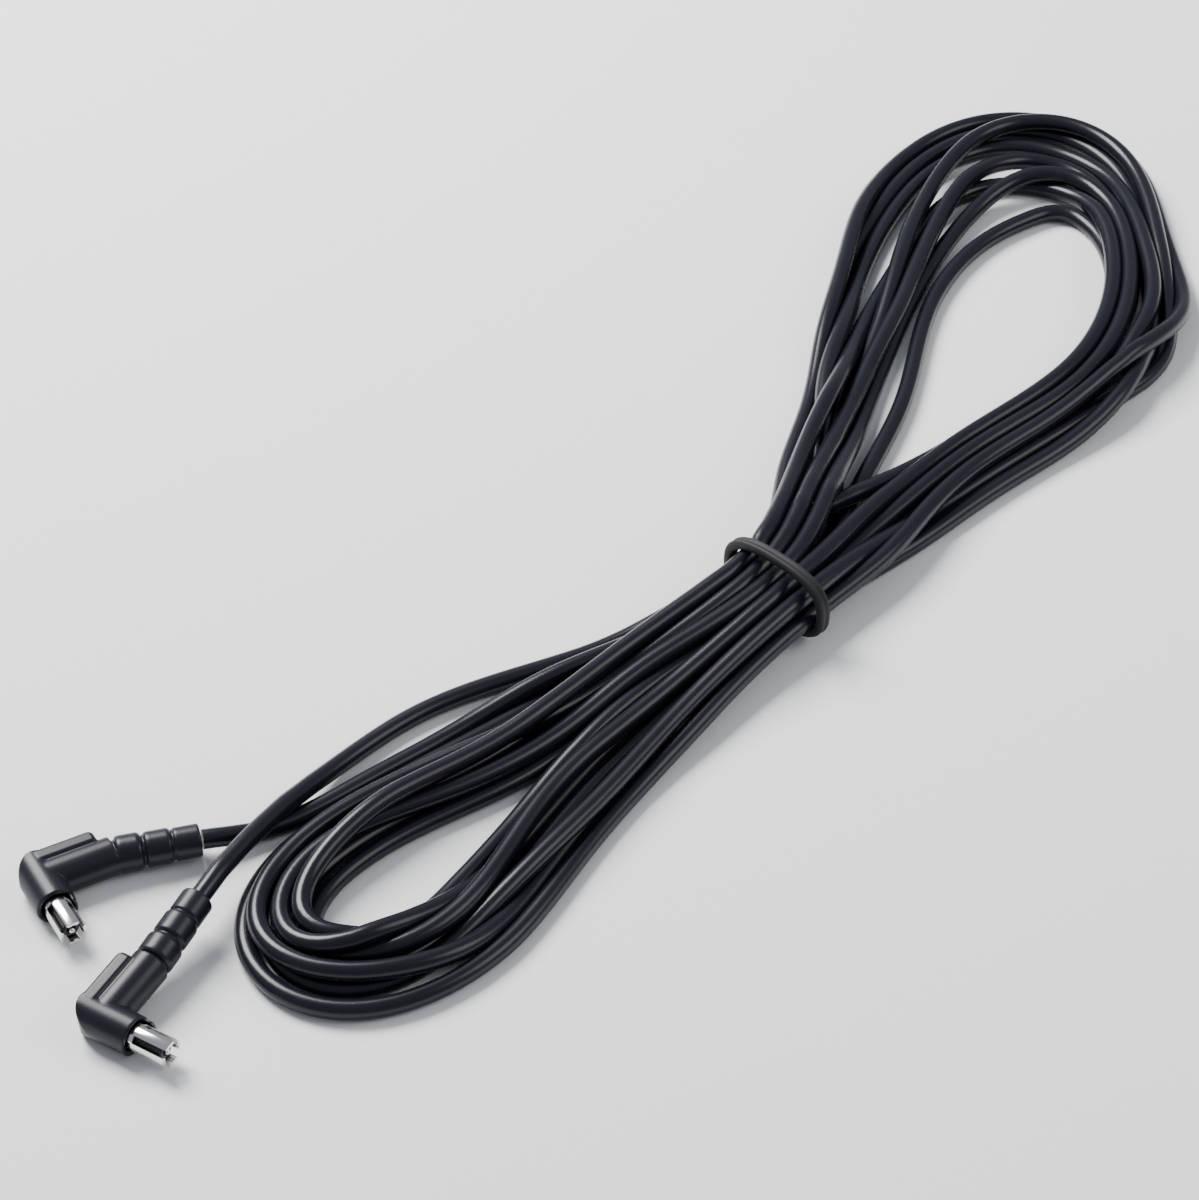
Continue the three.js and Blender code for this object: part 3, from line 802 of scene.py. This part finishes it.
class SYNC_OT_stage(bpy.types.Operator):
    """Sets the camera, the floor and the soft lights"""

    bl_idname = "sync_cable.stage"
    bl_label = "Stage"

    def execute(self, context):
        stage = context.scene.sync_stage
        scene = context.scene
        target = Vector((*stage.target, 0.0))
        back = Vector((0.0, -cos(stage.elevation), sin(stage.elevation)))
        data = bpy.data.cameras.new("camera")
        data.lens = stage.lens
        data.sensor_width = SENSOR_WIDTH
        data.sensor_fit = "HORIZONTAL"
        camera = bpy.data.objects.new("camera", data)
        camera.location = target + back * stage.distance
        camera.rotation_euler = (pi / 2 - stage.elevation, 0.0, 0.0)
        scene.collection.objects.link(camera)
        scene.camera = camera

        half = stage.floor_size / 2
        floor = new_mesh_object(
            "floor", [(-half, -half, 0), (half, -half, 0), (half, half, 0), (-half, half, 0)],
            [(0, 1, 2, 3)], smooth=False)
        floor.data.materials.append(surface_material(
            "studio_paper", stage.floor_colour, PAPER_ROUGHNESS, relief=0.0, variation=0.0, mottle=0.0,
            specular=0.2))

        softboxes = [
            ("key_softbox", KEY_PLACE, stage.key_power),
            ("side_softbox", SIDE_PLACE, stage.fill_power),
        ]
        for name, place, power in softboxes:
            lamp = bpy.data.lights.new(name, "AREA")
            lamp.shape = "SQUARE"
            lamp.size = SOFTBOX_SIZE
            lamp.energy = power
            obj = bpy.data.objects.new(name, lamp)
            obj.location = place
            obj.rotation_euler = (target - Vector(place)).to_track_quat("-Z", "Y").to_euler()
            scene.collection.objects.link(obj)

        world = bpy.data.worlds.new("studio_air")
        world.use_nodes = True
        sky = world.node_tree.nodes["Background"]
        sky.inputs["Color"].default_value = AIR_COLOUR
        sky.inputs["Strength"].default_value = stage.air
        scene.world = world
        return {"FINISHED"}


class SYNC_OT_cord(bpy.types.Operator):
    """Settles the cord's route and sweeps the jacket along it"""

    bl_idname = "sync_cable.cord"
    bl_label = "Cord"

    def execute(self, context):
        cord, tie = context.scene.sync_cord, context.scene.sync_tie
        line = settled_route(cord, tie)
        jacket = surface_material("cord_jacket", cord.colour, cord.roughness,
                                  relief=0.000004, grain=0.0006, variation=0.1, specular=0.3)
        obj = swept_jacket("cord", line, cord.diameter / 2, cord.sides, jacket)
        finish_piece(obj, jacket,
                     ["cable_hank", "lead_upper", "lead_lower", "inner_turn"])
        return {"FINISHED"}


class SYNC_OT_tie(bpy.types.Operator):
    """Makes the ridged rubber band round the waist"""

    bl_idname = "sync_cable.tie"
    bl_label = "Tie"

    def execute(self, context):
        tie = context.scene.sync_tie
        ridge, edge = RIDGE_SHARE * tie.wall, EDGE_SHARE * tie.wall
        half = tie.band / 2
        # The band's section: how far out of the inside face, and how far along the cord
        section = [
            (0.0, -half + edge), (edge, -half), (tie.wall - edge, -half),
            (tie.wall, -half + edge), (tie.wall, -half + RIDGE_TOP * edge),
            (tie.wall - ridge, -half + RIDGE_FOOT * edge),
            (tie.wall - ridge, half - RIDGE_FOOT * edge),
            (tie.wall, half - RIDGE_TOP * edge), (tie.wall, half - edge),
            (tie.wall - edge, half), (edge, half), (0.0, half - edge),
        ]
        heading = Vector((cos(tie.turn), sin(tie.turn), 0.0))
        across = Vector((sin(tie.turn), -cos(tie.turn), 0.0))
        middle = ORIGIN + Vector((0.0, 0.0, (TIE_LOW.z + TIE_HIGH.z) / 2))
        power = 2 / tie.squareness

        def rim(angle, out):
            wide, high = tie.inner_width / 2 + out, tie.inner_height / 2 + out
            c, s = cos(angle), sin(angle)
            return (wide * abs(c) ** power * (1 if c > 0 else -1),
                    high * abs(s) ** power * (1 if s > 0 else -1))

        verts = []
        for k in range(TIE_STEPS):
            for out, along in section:
                side, rise = rim(2 * pi * (k + 0.5) / TIE_STEPS, out)
                verts.append(middle + across * side + heading * along
                             + Vector((0.0, 0.0, rise)))
        count = len(section)
        faces = []
        for k in range(TIE_STEPS):
            for j in range(count):
                here, after = k * count, (k + 1) % TIE_STEPS * count
                ahead = (j + 1) % count
                faces.append((here + j, here + ahead, after + ahead, after + j))
        obj = new_mesh_object("rubber_tie", verts, faces)
        face_outward(obj)
        rounding = obj.modifiers.new("soft edges", "SUBSURF")
        rounding.levels = rounding.render_levels = 1
        apply_modifiers(obj)
        obj.data.polygons.foreach_set("use_smooth", [True] * len(obj.data.polygons))
        rubber = surface_material("tie_rubber", tie.colour, tie.roughness,
                                  relief=0.00002, grain=0.0003, specular=0.25)
        finish_piece(obj, rubber, ["hank_tie"])
        return {"FINISHED"}


def plug_place(tag):
    """Matrix that stands a plug, built along X and Y, at the start of its lead"""
    plug = bpy.context.scene.sync_plug
    lead, turn, rise, bend = PLUGS[tag]
    turning = Matrix.Rotation(turn, 4, "Z") @ Matrix.Rotation(rise, 4, "X")
    boot = BOOT_RINGS * (RING_LENGTH + RING_GAP) + JOINT_GAP
    to_lead = turning @ Vector((-boot * sin(bend), plug.leg_length + boot * cos(bend), 0.0))
    crossing = ORIGIN + Vector(lead[0]) - to_lead
    crossing.z = plug.head_diameter / 2
    return Matrix.Translation(crossing) @ turning


def boot_profile(plug):
    """The boot's rings and grooves, as distances from the leg's end and radii"""
    pitch = RING_LENGTH + RING_GAP
    profile = [(-BOOT_ROOT, plug.boot_neck / 2)]
    for ring in range(BOOT_RINGS):
        radius = (plug.boot_diameter - ring * RING_TAPER) / 2
        foot = ring * pitch
        round_off = radius - plug.boot_neck / 2
        profile += [
            (foot + RING_GAP / 2, plug.boot_neck / 2),
            (foot + RING_GAP / 2 + round_off * RING_ROUNDING, radius - round_off * RING_ROUNDING),
            (foot + RING_GAP / 2 + round_off, radius),
            (foot + RING_GAP + RING_LENGTH - round_off, radius),
            (foot + RING_GAP + RING_LENGTH - round_off * RING_ROUNDING,
             radius - round_off * RING_ROUNDING),
            (foot + RING_GAP + RING_LENGTH, plug.boot_neck / 2),
        ]
    profile.append((BOOT_RINGS * pitch - BOOT_MOUTH, plug.boot_neck / 2 - BOOT_MOUTH_STEP))
    return profile


def head_plan(plug):
    """Plan of the head with its lid and the round outer corner"""
    side = plug.head_diameter / 2
    corner = [
        (ELBOW_RADIUS - plug.lid_back + ELBOW_RADIUS * cos(a),
         ELBOW_RADIUS - side + ELBOW_RADIUS * sin(a))
        for a in (pi + pi / 2 * k / ELBOW_STEPS for k in range(ELBOW_STEPS + 1))
    ]
    front = plug.lid_thickness - plug.lid_back
    return corner + [
        (plug.head_reach, -side), (plug.head_reach, side), (front, side),
        (front, plug.lid_length), (-plug.lid_back + LID_CORNER, plug.lid_length),
        (-plug.lid_back, plug.lid_length - LID_CORNER),
    ]


class SYNC_OT_mouldings(bpy.types.Operator):
    """Moulds the two right-angle plug bodies with their lids and ringed boots"""

    bl_idname = "sync_cable.mouldings"
    bl_label = "Plug mouldings"

    def execute(self, context):
        plug = context.scene.sync_plug
        plastic = surface_material("plug_moulding", plug.colour, plug.roughness,
                                   relief=0.000012, grain=0.0005, variation=0.12,
                                   specular=0.3)
        radius = plug.head_diameter / 2
        for tag in PLUGS:
            body = turned("plug_moulding_" + tag,
                          [(-plug.lid_back, radius), (plug.head_reach, radius)], HEAD_SIDES)
            lid = prism("lid", [
                (-plug.lid_back, 0.0), (plug.lid_thickness - plug.lid_back, 0.0),
                (plug.lid_thickness - plug.lid_back, plug.lid_length),
                (-plug.lid_back, plug.lid_length)], -radius, radius)
            edges = lid.modifiers.new("rounded", "BEVEL")
            edges.width = LID_ROUNDING
            edges.segments = LID_ROUNDING_STEPS
            apply_modifiers(lid)
            combined(body, lid, "UNION")
            combined(body, prism("plan", head_plan(plug), -2 * radius, 2 * radius),
                     "INTERSECT")
            leg = turned("leg", [(0.0, plug.leg_diameter / 2),
                                 (plug.leg_length, plug.leg_diameter / 2)], HEAD_SIDES, LEG_AXIS)
            combined(body, leg, "UNION")
            bent = Matrix.Translation((0.0, plug.leg_length, 0.0)) @ Matrix.Rotation(
                PLUGS[tag][3], 4, "Z") @ LEG_AXIS
            combined(body, turned("boot", boot_profile(plug), BOOT_SIDES, bent), "UNION")
            inner = plug.sleeve_diameter / 2 + JOINT_GAP
            mouth = turned("mouth", [(plug.head_reach - SLEEVE_SEAT, inner),
                                     (plug.head_reach + OVERRUN, inner)], HEAD_SIDES)
            combined(body, mouth, "DIFFERENCE")
            combined(body, self.lip(plug, inner), "UNION")
            remesh = body.modifiers.new("moulded", "REMESH")
            remesh.mode = "VOXEL"
            remesh.voxel_size = plug.grain
            remesh.use_smooth_shade = True
            soften = body.modifiers.new("soften", "SMOOTH")
            soften.factor = SOFTEN_SHARE
            soften.iterations = SOFTEN_ROUNDS
            apply_modifiers(body)
            body.data.transform(plug_place(tag))
            finish_piece(body, plastic, ["plug_body_" + tag])
        return {"FINISHED"}

    @staticmethod
    def lip(plug, inner):
        """The short wall that the mouth keeps on the leg's side"""
        outer = inner + LIP_THICKNESS
        angles = [LIP_HALF_ANGLE * (k / LIP_STEPS - 1) for k in range(2 * LIP_STEPS + 1)]
        ring = ([(outer * sin(a), outer * cos(a)) for a in angles]
                + [(inner * sin(a), inner * cos(a)) for a in reversed(angles)])
        lip = prism("lip", ring, plug.head_reach - SLEEVE_SEAT / 2,
                    plug.head_reach + LIP_REACH)
        lip.data.transform(Matrix(((0, 0, 1, 0), (0, 1, 0, 0), (-1, 0, 0, 0), (0, 0, 0, 1))))
        face_outward(lip)
        return lip


class SYNC_OT_contacts(bpy.types.Operator):
    """Makes the slotted spring sleeves, their centre pins and the insulators, which reach far up the
    sleeves as painted shade
    """

    bl_idname = "sync_cable.contacts"
    bl_label = "Contacts"

    def execute(self, context):
        plug = context.scene.sync_plug
        nickel = surface_material("nickel_plate", plug.metal, NICKEL_ROUGHNESS, metallic=1.0,
                                  relief=0.000002, grain=0.0003, variation=0.1, mottle=0.05)
        # The insulator's near-black finish is partly its own and partly painted shade inside the
        # sleeve
        dark = surface_material("insulator", INSULATOR_AND_SHADE_COLOUR, INSULATOR_ROUGHNESS)
        back = plug.head_reach - SLEEVE_SEAT + JOINT_GAP
        tip = plug.head_reach + plug.sleeve_reach
        outer, inner = plug.sleeve_diameter / 2, plug.sleeve_bore / 2
        for tag in PLUGS:
            sleeve = turned("sleeve_" + tag, [(back, outer), (tip, outer)], SLEEVE_SIDES)
            bore = turned("bore", [(back - OVERRUN, inner), (tip + OVERRUN, inner)], SLEEVE_SIDES)
            combined(sleeve, bore, "DIFFERENCE")
            slot_from = plug.head_reach + SLOT_START
            for quarter in (1, 3):
                cutter = prism("slot", [
                    (slot_from, -SLOT_WIDTH / 2), (tip + OVERRUN, -SLOT_WIDTH / 2),
                    (tip + OVERRUN, SLOT_WIDTH / 2), (slot_from, SLOT_WIDTH / 2)],
                    -SLOT_CUTTER_HALF, SLOT_CUTTER_HALF)
                cutter.data.transform(Matrix.Rotation(quarter * pi / 4, 4, "X"))
                combined(sleeve, cutter, "DIFFERENCE")
            bevel = sleeve.modifiers.new("edges", "BEVEL")
            bevel.width = SLEEVE_ROUNDING
            bevel.segments = SLEEVE_ROUNDING_STEPS
            bevel.limit_method = "ANGLE"
            bevel.angle_limit = ROUNDED_ABOVE
            apply_modifiers(sleeve)
            self.shade(sleeve)
            sleeve.data.transform(plug_place(tag))
            finish_piece(sleeve, nickel, ["spring_sleeve_" + tag])

            radius = plug.pin_diameter / 2
            end = tip - PIN_RECESS
            nose = [(end - radius * (1 - sin(a)), max(radius * cos(a), PIN_POINT))
                    for a in (pi / 2 * k / NOSE_STEPS for k in range(NOSE_STEPS + 1))]
            pin = turned("pin_" + tag, [(back, radius)] + nose, PIN_SIDES)
            self.shade(pin)
            pin.data.transform(plug_place(tag))
            finish_piece(pin, nickel, ["centre_pin_" + tag])

            # The dark insulator reaches almost to the sleeve's tip: painted shade that fills the
            # inside of the sleeve
            disc_front = back + INSULATOR_AS_SHADE_LENGTH
            disc = turned("insulator_" + tag, [
                (back, inner - JOINT_GAP), (disc_front - INSULATOR_CHAMFER, inner - JOINT_GAP),
                (disc_front, inner - JOINT_GAP - INSULATOR_CHAMFER)], INSULATOR_SIDES)
            hole = turned("hole", [(back - OVERRUN, radius + JOINT_GAP),
                                   (disc_front + OVERRUN, radius + JOINT_GAP)], HOLE_SIDES)
            combined(disc, hole, "DIFFERENCE")
            self.shade(disc)
            disc.data.transform(plug_place(tag))
            finish_piece(disc, dark, ["pin_insulator_" + tag])
        return {"FINISHED"}

    @staticmethod
    def shade(obj):
        """Smooth shading that keeps sharp corners sharp"""
        work = bmesh.new()
        work.from_mesh(obj.data)
        for face in work.faces:
            face.smooth = True
        for edge in work.edges:
            edge.smooth = edge.calc_face_angle(pi) < SHARP_ABOVE
        work.to_mesh(obj.data)
        work.free()


class SYNC_OT_declare(bpy.types.Operator):
    bl_idname = "sync_cable.declare"
    bl_label = "Declare cord"

    def execute(self, context):
        return {"FINISHED"}


# What the panel lists: a title, its settings and the operators that use them
PANEL_ROWS = [
    ("Stage", "sync_stage", [SYNC_OT_stage]),
    ("Cord", "sync_cord", [SYNC_OT_cord, SYNC_OT_declare]),
    ("Tie", "sync_tie", [SYNC_OT_tie]),
    ("Plugs", "sync_plug", [SYNC_OT_mouldings, SYNC_OT_contacts]),
]


class SYNC_PT_panel(bpy.types.Panel):
    """Lists the sizes and finishes with the operators that use them"""

    bl_idname = "SYNC_PT_panel"
    bl_label = "Sync Cable"
    bl_space_type = "VIEW_3D"
    bl_region_type = "UI"
    bl_category = "Sync Cable"

    def draw(self, context):
        for title, settings, operators in PANEL_ROWS:
            box = self.layout.box()
            box.label(text=title)
            group = getattr(context.scene, settings)
            for name in group.__annotations__:
                box.prop(group, name)
            for operator in operators:
                box.operator(operator.bl_idname)


SETTINGS = {
    "sync_cord": CordSettings,
    "sync_tie": TieSettings,
    "sync_plug": PlugSettings,
    "sync_stage": StageSettings,
}

OPERATORS = [SYNC_OT_stage, SYNC_OT_cord, SYNC_OT_tie, SYNC_OT_mouldings, SYNC_OT_contacts,
             SYNC_OT_declare]


def register():
    for group in SETTINGS.values():
        bpy.utils.register_class(group)
    for name, group in SETTINGS.items():
        setattr(bpy.types.Scene, name, PointerProperty(type=group))
    for operator in OPERATORS:
        bpy.utils.register_class(operator)
    bpy.utils.register_class(SYNC_PT_panel)


def unregister():
    bpy.utils.unregister_class(SYNC_PT_panel)
    for operator in reversed(OPERATORS):
        bpy.utils.unregister_class(operator)
    for name in SETTINGS:
        delattr(bpy.types.Scene, name)
    for group in reversed(SETTINGS.values()):
        bpy.utils.unregister_class(group)


def main():
    """Builds the scene"""
    register()
    bpy.ops.sync_cable.stage()
    bpy.ops.sync_cable.cord()
    bpy.ops.sync_cable.tie()
    bpy.ops.sync_cable.mouldings()
    bpy.ops.sync_cable.contacts()
    bpy.ops.sync_cable.declare()


if __name__ == "__main__":
    main()
